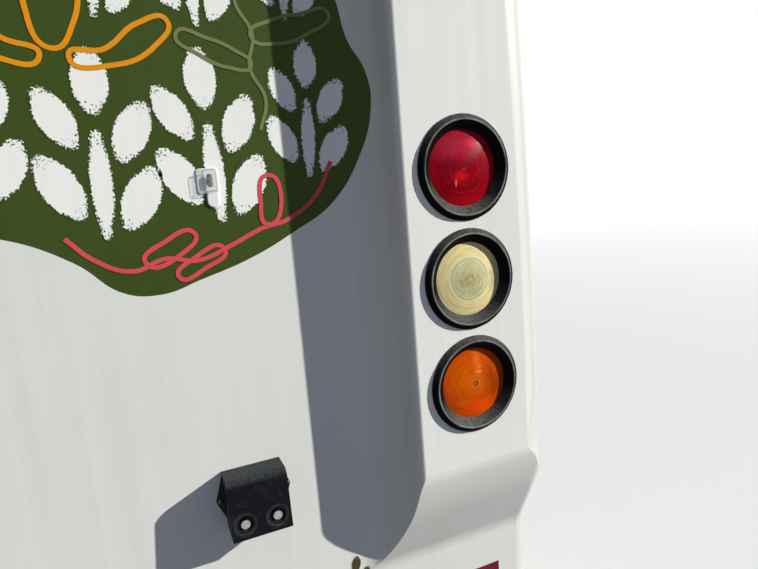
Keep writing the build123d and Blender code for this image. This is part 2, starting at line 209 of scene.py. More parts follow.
# Faces turned to the sides, outward and inward, are darker: road film, and a painted shade that tones them
# down where the key light falls hard on them.
outwards = math_step(tree, "MULTIPLY", turns["X"], math_step(tree, "SIGN", place["X"]))
side_grime_and_shade = 0.9
sideways_grime_and_shade = math_step(tree, "MAXIMUM", ramp(tree, outwards, 0.1, 0.42, 0.0, side_grime_and_shade),
                     ramp(tree, outwards, -0.3, -0.95, 0.0, side_grime_and_shade))
with_side_shade = blend_colours(tree, sideways_grime_and_shade, streaked, srgb(186, 185, 178))
jumble = put(tree, "ShaderNodeTexNoise", None, Vector=where, Scale=30.0).outputs["Color"]
strand_warp = vector_step(tree, "MULTIPLY_ADD", jumble, (0.12, 0.12, 0.12))
tree.links.new(where, strand_warp.node.inputs[2])
strands = strand_print(tree, strand_warp, 55.0)
laminate = blend_colours(tree, strands, srgb(214, 208, 176), srgb(168, 160, 124))
edge_on, turned_away = 0.04, 0.06  # how far a face may turn and count as edge on, then as an inner one
forwards = ramp(tree, turns["Y"], edge_on, turned_away)
middle = (0.0, 0.0, (cad_low[2] + cad_high[2]) / 2)
from_middle = vector_step(tree, "MULTIPLY", vector_step(tree, "SUBTRACT", where, middle), (1.0, 0.0, 1.0))
turned_in = math_step(tree, "LESS_THAN", vector_step(tree, "DOT_PRODUCT", from_middle, normal, "Value"), 0.0)
level = math_step(tree, "GREATER_THAN", turns["Y"], -edge_on)
inside = math_step(tree, "MAXIMUM", forwards, math_step(tree, "MULTIPLY", turned_in, level))
paint(tree, shader, blend_colours(tree, inside, with_side_shade, laminate))
roughen(tree, shader, noise(tree, where, 140.0, detail=2.0), strength=0.05, distance=0.0006)
dress("rear_skin", gelcoat)


# Stiffeners. Strips of foam bonded to the inner face of the wall and laid over with glass laminate,
# which keeps the print of its chopped strands.

raw_laminate, shader, tree = finish_material("raw_laminate", srgb(205, 198, 165), 0.6)
where = own_coordinates(tree)
strands = strand_print(tree, where, 60.0)
paint(tree, shader, blend_colours(tree, strands, srgb(212, 206, 172), srgb(170, 162, 124)))
roughen(tree, shader, strands, strength=0.4, distance=0.002)
for name in ("lower_stiffener", "middle_stiffener", "window_stiffener"):
    dress(name, raw_laminate)


# Vinyl on the wall under the window. Cut films laid over one another: a green field with a flowing
# edge, white sprigs printed as if with a dry brush, and drawn leaves and tendrils in three colours.
# A maroon flash and a small brown sprig stand on the wall's foot.

field_top = 1.182
field_edge = [  # x and z of the green field's right half, from the middle of its foot to its top
    (0.0, 0.742), (0.2, 0.80), (0.34, 0.786), (0.46, 0.812), (0.563, 0.798), (0.628, 0.764), (0.673, 0.724),
    (0.714, 0.717), (0.757, 0.728), (0.82, 0.747), (0.875, 0.772), (0.935, 0.808), (0.970, 0.862),
    (0.985, 0.92), (0.982, 0.965), (0.966, 1.006), (0.958, 1.05), (0.94, 1.11), (0.9, field_top),
]
film_start = -0.32
film_thickness = 0.00008
weld_gap = 0.00002
hands = {"right": 1, "left": -1}
field_lift, print_lift, line_lift, line_step = 0.0001, 0.0003, 0.0005, 0.00004
bend_starts, bend_ends, bend_steps = 0.92, 1.004, 12


def deselect_all():
    bpy.ops.object.select_all(action="DESELECT")


def drawn_curve(name, loops, closed=True, half_width=0.0):
    """A curve through loops of x, z points: flat outlines, or a ribbon of some width."""
    data = bpy.data.curves.new(name, "CURVE")
    data.dimensions = "3D" if half_width else "2D"
    data.fill_mode = "FULL" if half_width else "NONE"
    data.twist_mode = "Z_UP"
    data.resolution_u = 10
    data.extrude = half_width
    for points in loops:
        spline = data.splines.new("BEZIER")
        spline.bezier_points.add(len(points) - 1)
        for point, (x, z) in zip(spline.bezier_points, points):
            point.co = (x, z, 0.0)
            point.tilt = math.radians(90) if half_width else 0.0
            point.handle_left_type = point.handle_right_type = "AUTO"
        spline.use_cyclic_u = closed
    piece = bpy.data.objects.new(name, data)
    bpy.context.collection.objects.link(piece)
    return piece


def sharpen(curve, corners):
    """Makes sharp corners of some points of a curve."""
    for index in corners:
        point = curve.data.splines[0].bezier_points[index]
        point.handle_left_type = point.handle_right_type = "VECTOR"


def settle(piece, matrix):
    """Makes a curve a mesh and puts its place in that mesh."""
    deselect_all()
    piece.select_set(True)
    bpy.context.view_layer.objects.active = piece
    bpy.ops.object.convert(target="MESH")
    piece.matrix_world = matrix
    bpy.ops.object.transform_apply()


def cut_film(piece, border=0.0):
    """Fills flat outlines standing in the wall's plane, with an inner line at the border's width."""
    settle(piece, Matrix.Translation((0.0, film_start, 0.0)) @ Matrix.Rotation(math.radians(90), 4, "X"))
    if piece.data.polygons:
        return
    bpy.ops.object.mode_set(mode="EDIT")
    bpy.ops.mesh.select_all(action="SELECT")
    bpy.ops.mesh.edge_face_add()
    if border:
        bpy.ops.mesh.inset(thickness=border, use_individual=False)
    bpy.ops.object.mode_set(mode="OBJECT")


def lay_film(piece, height, material):
    """Lays a cut film on the shell, height above it, and gives it its thickness."""
    if max(abs(vertex.co.x) for vertex in piece.data.vertices) > bend_starts:
        bpy.ops.object.mode_set(mode="EDIT")
        for side in (-1, 1):
            for step in range(bend_steps + 1):
                place = side * (bend_starts + (bend_ends - bend_starts) * step / bend_steps)
                bpy.ops.mesh.select_all(action="SELECT")
                bpy.ops.mesh.bisect(plane_co=(place, 0.0, 0.0), plane_no=(1.0, 0.0, 0.0))
        bpy.ops.object.mode_set(mode="OBJECT")
    wrap = piece.modifiers.new("lay", "SHRINKWRAP")
    wrap.target = nodes["rear_skin"]
    wrap.wrap_method = "PROJECT"
    wrap.use_project_y = True
    wrap.use_positive_direction = True
    wrap.offset = height
    bpy.ops.object.modifier_apply(modifier=wrap.name)
    film = piece.modifiers.new("film", "SOLIDIFY")
    film.thickness = film_thickness
    film.offset = 1.0
    bpy.ops.object.modifier_apply(modifier=film.name)
    bpy.ops.object.mode_set(mode="EDIT")
    bpy.ops.mesh.select_all(action="SELECT")
    bpy.ops.mesh.remove_doubles(threshold=weld_gap)
    bpy.ops.mesh.normals_make_consistent(inside=False)
    bpy.ops.object.mode_set(mode="OBJECT")
    bpy.ops.object.shade_flat()
    piece.data.materials.clear()
    piece.data.materials.append(material)
    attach(piece, "root")


dry_brush, given, made = new_group(
    "dry_brush", [("Vector", "NodeSocketVector", None), ("Stroke", "NodeSocketVector", None)], ["Mask"])
stroke = split(dry_brush, given["Stroke"])
patches = noise(dry_brush, given["Vector"], 380.0, detail=2.0, roughness=0.6)
specks = ramp(dry_brush, patches, 0.36, 0.64, 0.0, 0.6)
drawn = put(dry_brush, "ShaderNodeMapping", None, Vector=given["Stroke"], Scale=(7.0, 420.0, 0.0))
hairs = noise(dry_brush, drawn.outputs["Vector"], 1.0, detail=3.0, roughness=0.7)
bristles = ramp(dry_brush, hairs, 0.38, 0.62)
running_out = ramp(dry_brush, math_step(dry_brush, "ABSOLUTE", stroke["X"]), 0.35, 1.0)
lifted = math_step(dry_brush, "MULTIPLY", math_step(dry_brush, "MULTIPLY", running_out, bristles), specks)
bare = math_step(dry_brush, "ADD", specks, math_step(dry_brush, "MULTIPLY", lifted, 2.4))
inked = ramp(dry_brush, math_step(dry_brush, "SUBTRACT", stroke["Z"], bare), 0.0, 0.05)
dry_brush.links.new(inked, made["Mask"])


faded_share = 0.88


def film_colour(tree, where, colour, dirt):
    """The colour of a cast film that has faded unevenly and picked up the gelcoat's streaks."""
    faded = tuple(channel * faded_share for channel in colour[:3]) + (1.0,)
    shade = blend_colours(tree, noise(tree, where, 5.0, detail=4.0, roughness=0.6), colour, faded)
    rain_mask = use_group(tree, rain_streaks, Vector=where, Amount=dirt)["Mask"]
    return blend_colours(tree, rain_mask, shade, srgb(120, 122, 100))


def vinyl_material(name, colour, dirt, under=None):
    """Matt film. One with a colour under it is printed with a brush that lets that colour through."""
    material, shader, tree = finish_material(name, colour, 0.5, Specular_IOR_Level=0.12)
    where = own_coordinates(tree)
    shown = film_colour(tree, where, colour, dirt)
    if under:
        stroke = put(tree, "ShaderNodeAttribute", {"attribute_name": "stroke"}).outputs["Vector"]
        ink = use_group(tree, dry_brush, Vector=where, Stroke=stroke)["Mask"]
        shown = blend_colours(tree, ink, film_colour(tree, where, under, 0.1), shown)
    paint(tree, shader, shown)
    roughen(tree, shader, noise(tree, where, 240.0, detail=2.0), strength=0.04, distance=0.0004)
    return material


field_green = srgb(60, 77, 27)
green_vinyl = vinyl_material("green_vinyl", field_green, 0.1)
field_outline = field_edge + [(-x, z) for x, z in reversed(field_edge[1:])]
field = drawn_curve("green_field", [field_outline])
sharpen(field, (len(field_edge) - 1, len(field_edge)))
cut_film(field)
lay_film(field, field_lift, green_vinyl)

leaf_shape = [  # across and along one leaf, as shares of its half width and half length
    (0.0, -1.0), (0.66, -0.66), (1.0, -0.05), (0.74, 0.6),
    (0.0, 1.0), (-0.74, 0.6), (-1.0, -0.05), (-0.66, -0.66),
]
sprig_leaves = [  # start up the stem, side, degrees off the stem, length and width, in shares of the height
    (0.0, 0, 0, 0.60, 0.12), (0.04, 1, 27, 0.40, 0.20), (0.12, -1, 29, 0.40, 0.20),
    (0.41, 1, 25, 0.37, 0.19), (0.49, -1, 27, 0.36, 0.18), (0.66, 0, 0, 0.36, 0.19),
]
stem_gap = 0.1
brush_border = 0.0042


def sprig_strokes(foot_x, foot_z, height, lean):
    """The leaves of a sprig, each as its middle, direction, half length and half width."""
    strokes = []
    for start, side, off, length, width in sprig_leaves:
        turn = math.radians(lean + side * off)
        along = (math.sin(turn), math.cos(turn))
        root_x = foot_x + height * (start * math.sin(math.radians(lean)) + side * stem_gap)
        root_z = foot_z + height * start * math.cos(math.radians(lean))
        half = height * length / 2
        middle = (root_x + along[0] * half, root_z + along[1] * half)
        strokes.append((middle, along, half, height * width / 2))
    return strokes


def print_sprig(name, side, strokes, border, material):
    """A sprig of brush strokes, each point with its place along, across and inside its stroke."""
    strokes = [((side * x, z), (side * dx, dz), half, belly) for (x, z), (dx, dz), half, belly in strokes]
    loops = [[(x + across * belly * dz + up * half * dx, z - across * belly * dx + up * half * dz)
              for across, up in leaf_shape] for (x, z), (dx, dz), half, belly in strokes]
    piece = drawn_curve(name, loops)
    cut_film(piece, border)
    places = []
    for vertex in piece.data.vertices:
        nearest = None
        for (x, z), (dx, dz), half, belly in strokes:
            off_x, off_z = vertex.co.x - x, vertex.co.z - z
            along, across = (off_x * dx + off_z * dz) / half, off_x * dz - off_z * dx
            reach = max(abs(along), abs(across) / belly)
            if nearest is None or reach < nearest[0]:
                nearest = (reach, along, across)
        places += [nearest[1], nearest[2], 1.0 if vertex.select else 0.0]
    piece.data.attributes.new("stroke", "FLOAT_VECTOR", "POINT").data.foreach_set("vector", places)
    lay_film(piece, print_lift, material)


white_print = vinyl_material("white_print", srgb(251, 251, 246), 0.08, field_green)
sprig_table = [  # x and z of the foot, height, lean in degrees
    (0.07, 0.80, 0.185, -3), (0.19, 0.84, 0.165, 3), (0.31, 0.83, 0.175, -3), (0.43, 0.845, 0.165, 4),
    (0.55, 0.83, 0.175, -3), (0.665, 0.785, 0.205, 2), (0.792, 0.792, 0.20, -2), (0.906, 0.838, 0.165, 3),
    (0.055, 1.015, 0.14, 4), (0.16, 1.035, 0.13, -4), (0.265, 1.035, 0.13, 4), (0.37, 1.035, 0.13, -4),
    (0.475, 1.03, 0.135, 3), (0.58, 1.03, 0.135, -4), (0.685, 1.02, 0.145, 4), (0.79, 1.015, 0.15, -3),
    (0.893, 1.025, 0.135, 3),
]
for side_name, side in hands.items():
    for number, place in enumerate(sprig_table, 1):
        name = f"{side_name}_white_sprig_{number}"
        print_sprig(name, side, sprig_strokes(*place), brush_border, white_print)

line_table = {  # half width, colour, and for each line whether it closes and its x and z points
    "orange": (0.0027, srgb(236, 152, 22), [
        (True, [(0.628, 0.982), (0.596, 1.0), (0.56, 1.038), (0.522, 1.046), (0.536, 1.01), (0.58, 0.984)]),
        (True, [(0.64, 0.99), (0.622, 1.03), (0.632, 1.078), (0.655, 1.098), (0.672, 1.06), (0.664, 1.015)]),
        (True, [(0.655, 0.982), (0.69, 0.99), (0.728, 1.018), (0.758, 1.022), (0.742, 0.994), (0.70, 0.974)]),
        (True, [(0.10, 0.99), (0.16, 0.975), (0.23, 0.98), (0.285, 1.0), (0.22, 1.016), (0.15, 1.012)])]),
    "red": (0.0026, srgb(222, 82, 92), [
        (False, [(0.622, 0.792), (0.648, 0.765), (0.685, 0.748), (0.722, 0.758), (0.758, 0.752),
                 (0.80, 0.766), (0.838, 0.782), (0.872, 0.79), (0.912, 0.818), (0.935, 0.858)]),
        (True, [(0.70, 0.756), (0.722, 0.777), (0.758, 0.784), (0.744, 0.764)]),
        (True, [(0.79, 0.762), (0.766, 0.742), (0.734, 0.735), (0.752, 0.754)]),
        (True, [(0.846, 0.786), (0.84, 0.812), (0.852, 0.846), (0.866, 0.814)]),
        (False, [(0.06, 0.78), (0.12, 0.80), (0.18, 0.818), (0.24, 0.806), (0.30, 0.80), (0.36, 0.814),
                 (0.43, 0.832)])]),
    "sage": (0.0021, srgb(122, 128, 84), [
        (False, [(0.842, 1.09), (0.836, 1.045), (0.852, 1.01), (0.845, 0.972), (0.86, 0.935), (0.85, 0.90)]),
        (True, [(0.85, 1.008), (0.884, 1.0), (0.92, 1.012), (0.948, 1.036), (0.91, 1.034), (0.876, 1.026)]),
        (True, [(0.847, 0.974), (0.82, 0.972), (0.79, 0.985), (0.766, 1.008), (0.80, 1.004),
                (0.828, 0.992)])]),
}
for kind, (half_width, colour, lines) in line_table.items():
    line_vinyl = vinyl_material(f"{kind}_vinyl", colour, 0.06)
    for side_name, side in hands.items():
        for number, (closed, points) in enumerate(lines, 1):
            turned = [(side * x, z) for x, z in points]
            line = drawn_curve(f"{side_name}_{kind}_line_{number}", [turned], closed, half_width)
            cut_film(line)
            lay_film(line, line_lift + number * line_step, line_vinyl)

maroon_vinyl = vinyl_material("maroon_vinyl", srgb(112, 22, 44), 0.15)
brown_print = vinyl_material("brown_print", srgb(78, 62, 40), 0.1, srgb(212, 214, 208))
small_sprig = (0.912, 0.228, 0.075, 6)  # x and z of the foot, height, lean in degrees
small_brush_border = 0.0017
flash_edge = [(1.160, 0.210), (0.86, 0.210), (0.64, 0.197), (0.46, 0.188), (0.64, 0.176), (0.86, 0.152),
              (1.160, 0.126)]
for side_name, side in hands.items():
    flash = drawn_curve(f"{side_name}_maroon_flash", [[(side * x, z) for x, z in flash_edge]])
    sharpen(flash, (0, len(flash_edge) // 2, len(flash_edge) - 1))
    cut_film(flash)
    lay_film(flash, field_lift, maroon_vinyl)
    strokes = sprig_strokes(*small_sprig)
    print_sprig(f"{side_name}_brown_sprig", side, strokes, small_brush_border, brown_print)


# Round lamps. A sealed lamp of bright bowl, bulb and ringed plastic lens snaps into a black rubber
# grommet, which grips the hole in the column. Road dust lies on the grommet's ridge and in its foot,
# and this grey is also a painted sheen on the rubber. The lenses carry painted reflections, glints
# and shadow.

road_dust, given, made = new_group(
    "road_dust", [("Vector", "NodeSocketVector", None), ("Amount", "NodeSocketFloat", 0.5),
                  ("Grain", "NodeSocketFloat", 120.0)], ["Mask"])
upward = split(road_dust, surface_normal(road_dust))["Z"]
lying = ramp(road_dust, upward, 0.12, 0.9)
grains = put(road_dust, "ShaderNodeTexNoise", None, Vector=given["Vector"], Scale=given["Grain"], Detail=5.0,
             Roughness=0.7).outputs["Fac"]
specks = ramp(road_dust, grains, 0.35, 0.7, 0.25, 1.0)
dust_mask = math_step(road_dust, "MULTIPLY", math_step(road_dust, "MULTIPLY", lying, specks), given["Amount"])
road_dust.links.new(dust_mask, made["Mask"])

black_rubber, shader, tree = finish_material("black_rubber", srgb(6, 7, 9), 0.6, Specular_IOR_Level=0.03)
where = own_coordinates(tree)
# Dust on the upward faces and wear on the ridge lighten the rubber to grey; with its sheen kept low, this
# grey is also the rubber's painted sheen.
dust = use_group(tree, road_dust, Vector=where, Amount=0.66, Grain=320.0)["Mask"]
ridge_foot, ridge_top = -0.2681, -0.2689
ridge = ramp(tree, split(tree, where)["Y"], ridge_foot, ridge_top)
ridge_patches = ramp(tree, noise(tree, where, 40.0, detail=4.0), 0.3, 0.6, 0.25, 0.9)
ridge_wear_and_sheen = math_step(tree, "MULTIPLY", ridge, ridge_patches)
dust_and_sheen = math_step(tree, "MAXIMUM", dust, ridge_wear_and_sheen)
paint(tree, shader, blend_colours(tree, dust_and_sheen, srgb(6, 7, 9), srgb(146, 147, 142)))
roughen(tree, shader, noise(tree, where, 900.0, detail=2.0), strength=0.12, distance=0.0003)

lens_optics, given, made = new_group(
    "lens_optics", [("Vector", "NodeSocketVector", None), ("Pitch", "NodeSocketFloat", 0.002)],
    ["Radius", "Rings", "Arcs"])
flattened = vector_step(lens_optics, "MULTIPLY", given["Vector"], (1.0, 0.0, 1.0))
radius = vector_step(lens_optics, "LENGTH", flattened, output="Value")
lens_optics.links.new(radius, made["Radius"])
across = split(lens_optics, flattened)
angle = math_step(lens_optics, "ARCTAN2", across["X"], across["Z"])
arcs_outward, arcs_around = 260.0, 1.3
polar = put(lens_optics, "ShaderNodeCombineXYZ", None,
            X=math_step(lens_optics, "MULTIPLY", radius, arcs_outward),
            Y=math_step(lens_optics, "MULTIPLY", angle, arcs_around)).outputs["Vector"]
lens_optics.links.new(noise(lens_optics, polar, 1.0, detail=4.0, roughness=0.6), made["Arcs"])
ring_wave = math_step(lens_optics, "PINGPONG", math_step(lens_optics, "DIVIDE", radius, given["Pitch"]), 0.5)
lens_optics.links.new(math_step(lens_optics, "MULTIPLY", ring_wave, 2.0), made["Rings"])

per_metre = 1000  # millimetres
lens_rows = {  # pitch of the rings and the painted shade in their grooves; clearness; then the colour at some radii, in millimetres
    "stop": (0.0021, 0.3, 0.03, (
        (0, (150, 4, 22)), (9, (146, 3, 22)), (10, (182, 18, 38)), (11, (146, 3, 22)), (20, (142, 2, 20)),
        (21, (178, 18, 38)), (22.4, (142, 2, 20)), (31, (140, 2, 20)), (32, (174, 14, 34)),
        (33.4, (140, 2, 20)), (42, (150, 4, 22)), (53, (174, 8, 24)))),
    "reverse": (0.0025, 0.24, 0.05, (
        (0, (204, 196, 146)), (5, (172, 158, 112)), (9, (196, 190, 142)), (16.6, (190, 188, 144)),
        (17.4, (226, 222, 180)), (18.6, (196, 194, 150)), (24.4, (204, 202, 158)), (25.2, (240, 236, 196)),
        (26.2, (200, 198, 152)), (28.6, (206, 203, 156)), (29.6, (250, 238, 190)), (31.5, (240, 224, 166)),
        (44, (242, 224, 160)), (53, (230, 212, 152)))),
    "turn": (0.0017, 0.3, 0.03, (
        # the bright ring at 6.2 millimetres round the bull's-eye is a painted glint
        (0, (84, 56, 10)), (3.2, (126, 74, 14)), (4.6, (76, 46, 6)), (6.2, (244, 150, 68)),
        (7.4, (176, 74, 10)), (9.4, (226, 114, 28)), (10.6, (194, 76, 8)), (12.6, (224, 110, 24)),
        (14, (196, 78, 7)), (17, (218, 96, 14)), (18.6, (200, 78, 6)), (34, (208, 80, 5)),
        (53, (214, 74, 3)))),
}
lens_spots = {  # where bulb and facets show, and painted reflection, glints and shadow: x and z from the middle, reaches, in millimetres; colour; share
    "stop": (
        # the pinkish top is a painted reflection of the sky; the bright spots up right of the middle and low
        # left of it are painted glints; the dark right edge is a painted shadow of the grommet
        (-10, 26, 44, 26, (184, 48, 70), 0.75), (-18, 6, 26, 13, (104, 0, 34), 0.55),
        (8, 4, 13, 12, (108, 0, 30), 0.6), (-28, -24, 24, 20, (128, 0, 12), 0.7),
        (12, 31, 13, 8, (236, 32, 70), 0.85), (-7, 15, 8, 8, (176, 6, 50), 0.5),
        (-7, -11, 15, 9, (236, 16, 22), 0.8), (-13, -19, 2, 6, (255, 150, 140), 0.75),
        (17, -22, 10, 9, (112, 2, 16), 0.7), (2, -42, 30, 9, (180, 14, 30), 0.6),
        (32, 4, 12, 26, (134, 20, 40), 0.7)),
    "reverse": (
        (-6, -2, 14, 10, (168, 158, 112), 0.6), (10, 14, 15, 10, (214, 210, 160), 0.6),
        (-12, 16, 9, 7, (224, 220, 176), 0.5), (8, -15, 14, 7, (186, 180, 132), 0.5),
        # the dark right edge is a painted shadow of the grommet
        (42, 2, 16, 34, (184, 172, 134), 0.8)),
    "turn": (
        # the dark right edge is a painted shadow of the grommet; the light ray above the middle, the spot low
        # left and the two small peach spots are painted glints
        (2, -34, 36, 18, (246, 84, 6), 0.85), (34, 0, 24, 44, (142, 56, 0), 0.9),
        (4, 30, 9, 26, (240, 118, 30), 0.75), (-20, -24, 14, 8, (250, 112, 28), 0.5),
        (-22, 8, 32, 38, (236, 104, 6), 0.8), (6, 16, 6, 3, (255, 170, 90), 0.6),
        (8, 23, 5, 2.5, (250, 158, 78), 0.5)),
}


def lens_plastic(name, centre, row):
    """Tinted, glossy plastic, ringed about the lamp's own axis, the bulb and bowl showing in it, with painted
    reflection, glints and shadow, painted highlight and shade in arcs, and painted shade in its ring grooves.
    """
    pitch, groove_shade, clearness, colours = lens_rows[row]
    material, shader, tree = finish_material(
        name, srgb(*colours[-1][1]), 0.3, Transmission_Weight=clearness, IOR=1.49, Specular_IOR_Level=0.025)
    centred = own_coordinates(tree, centre)
    optics = use_group(tree, lens_optics, Vector=centred, Pitch=pitch)
    reach = colours[-1][0] / per_metre
    share = math_step(tree, "DIVIDE", optics["Radius"], reach)
    bands = put(tree, "ShaderNodeValToRGB", None, Fac=share)
    stops = bands.color_ramp.elements
    while len(stops) < len(colours):
        stops.new(0.5)
    for stop, (radius, colour) in zip(stops, colours):
        stop.position = radius / per_metre / reach
        stop.color = srgb(*colour)
    shown = bands.outputs["Color"]
    # Spots for the bulb and facets, and the painted reflection, glints and shadow.
    for x, z, reach_x, reach_z, colour, strength in lens_spots[row]:
        squeezed = put(tree, "ShaderNodeMapping", None, Vector=centred,
                       Location=(-x / reach_x, 0.0, -z / reach_z),
                       Scale=(per_metre / reach_x, 0.0, per_metre / reach_z)).outputs["Vector"]
        spot_share = ramp(tree, vector_step(tree, "LENGTH", squeezed, output="Value"), 1.0, 0.3, 0.0, strength)
        shown = blend_colours(tree, spot_share, shown, srgb(*colour))
    tint = srgb(*colours[-1][1])[:3]
    dark = tuple(channel * 0.5 for channel in tint) + (1.0,)
    light = tuple(min(channel * 1.5, 1.0) for channel in tint) + (1.0,)
    arc_strength = 0.5
    lit_arcs = blend_colours(tree, ramp(tree, optics["Arcs"], 0.52, 0.74, 0.0, arc_strength), shown, light)
    dim_arcs = blend_colours(tree, ramp(tree, optics["Arcs"], 0.48, 0.28, 0.0, arc_strength), lit_arcs, dark)
    # Painted shade in the grooves of the rings.
    grooves = ramp(tree, optics["Rings"], 0.0, 0.4, groove_shade, 0.0)
    paint(tree, shader, blend_colours(tree, grooves, dim_arcs, dark))
    roughen(tree, shader, optics["Rings"], strength=0.35, distance=0.0005)
    return material


bright_bowl, shader, tree = finish_material("bright_bowl", srgb(215, 215, 212), 0.25, Metallic=0.75)
where = own_coordinates(tree)
haze = noise(tree, where, 35.0)
paint(tree, shader, blend_colours(tree, haze, srgb(228, 228, 224), srgb(186, 186, 180)))
for side in hands:
    for row in lens_rows:
        low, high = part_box(f"{side}_{row}_lens")
        dress(f"{side}_{row}_lens", lens_plastic(f"{side}_{row}_lens_plastic", (low + high) / 2, row))
        dress(f"{side}_{row}_lamp_body", bright_bowl)
        dress(f"{side}_{row}_grommet", black_rubber)


# Rear window. Tinted safety glass held by a two-lipped rubber gasket, which is spread tight by a
# locking bead pressed into its face.

tinted_glass, shader, tree = finish_material("tinted_glass", srgb(52, 58, 57), 0.02, Transmission_Weight=0.9)
where = own_coordinates(tree)
film = noise(tree, where, 6.0)
paint(tree, shader, blend_colours(tree, film, srgb(50, 56, 55), srgb(60, 65, 63)))
dress("window_glass", tinted_glass)
for name in ("window_gasket", "window_bead"):
    dress(name, black_rubber)


# Reversing sensors. A black moulded housing screwed to the wall by its two ears, with a pair of
# bright transducer discs at the bottom of flared throats, which carry a painted sheen. Its top
# ledge is grey with dust.

horn_middle, horn_offset, horn_height = 0.7885, 0.0202, 0.4254
horn_distance, given, made = new_group(
    "horn_distance", [("Vector", "NodeSocketVector", None)], ["Distance"])
place = split(horn_distance, given["Vector"])
off_centre = math_step(horn_distance, "ABSOLUTE", place["X"])
off_middle = math_step(horn_distance, "SUBTRACT", off_centre, horn_middle)
off_horn = math_step(horn_distance, "SUBTRACT", math_step(horn_distance, "ABSOLUTE", off_middle), horn_offset)
above_horn = math_step(horn_distance, "SUBTRACT", place["Z"], horn_height)
off_axis = put(horn_distance, "ShaderNodeCombineXYZ", None, X=off_horn, Y=above_horn).outputs["Vector"]
horn_distance.links.new(vector_step(horn_distance, "LENGTH", off_axis, output="Value"), made["Distance"])

black_plastic, shader, tree = finish_material("black_plastic", srgb(7, 10, 15), 0.45, Specular_IOR_Level=0.1)
where = own_coordinates(tree)
dust = use_group(tree, road_dust, Vector=where, Amount=0.42, Grain=260.0)["Mask"]
scuff = ramp(tree, noise(tree, where, 85.0, detail=5.0, roughness=0.7), 0.52, 0.8, 0.0, 0.16)
from_horn = use_group(tree, horn_distance, Vector=where)["Distance"]
past_throat = ramp(tree, from_horn, 0.0108, 0.0122)
within_rim = ramp(tree, from_horn, 0.0158, 0.0136)
ring = math_step(tree, "MULTIPLY", past_throat, within_rim)
# A painted sheen on the flared throats round the discs.
throat_sheen = math_step(tree, "MULTIPLY", ring, ramp(tree, noise(tree, where, 300.0), 0.4, 0.6, 0.1, 0.28))
dust_and_sheen = math_step(tree, "MAXIMUM", math_step(tree, "MAXIMUM", dust, scuff), throat_sheen)
paint(tree, shader, blend_colours(tree, dust_and_sheen, srgb(7, 10, 15), srgb(98, 102, 105)))
roughen(tree, shader, noise(tree, where, 700.0, detail=3.0), strength=0.15, distance=0.0004)

disc_metal, shader, tree = finish_material("disc_metal", srgb(176, 176, 172), 0.45)
where = own_coordinates(tree)
tarnish = noise(tree, where, 260.0, detail=4.0)
bright = blend_colours(tree, tarnish, srgb(196, 196, 194), srgb(142, 142, 138))
from_horn = use_group(tree, horn_distance, Vector=where)["Distance"]
bright_ends, edge_starts = 0.0053, 0.0056
disc_edge = ramp(tree, from_horn, bright_ends, edge_starts)
paint(tree, shader, blend_colours(tree, disc_edge, bright, srgb(12, 13, 15)))
tree.links.new(ramp(tree, disc_edge, 0.0, 1.0, 0.75, 0.0), shader.inputs["Metallic"])

screw_metal, shader, tree = finish_material("screw_metal", srgb(46, 48, 50), 0.3, Metallic=0.3)
where = own_coordinates(tree)
rust = ramp(tree, noise(tree, where, 420.0, detail=4.0, roughness=0.7), 0.5, 0.7)
paint(tree, shader, blend_colours(tree, rust, srgb(52, 54, 57), srgb(44, 34, 28)))


def select_faces(piece, wanted):
    """Selects the faces of a piece that pass a test, and leaves it in edit mode."""
    bpy.ops.object.mode_set(mode="EDIT")
    bpy.ops.mesh.select_mode(type="FACE")
    bpy.ops.mesh.select_all(action="DESELECT")
    bpy.ops.object.mode_set(mode="OBJECT")
    for face in piece.data.polygons:
        face.select = wanted(face)
    bpy.ops.object.mode_set(mode="EDIT")


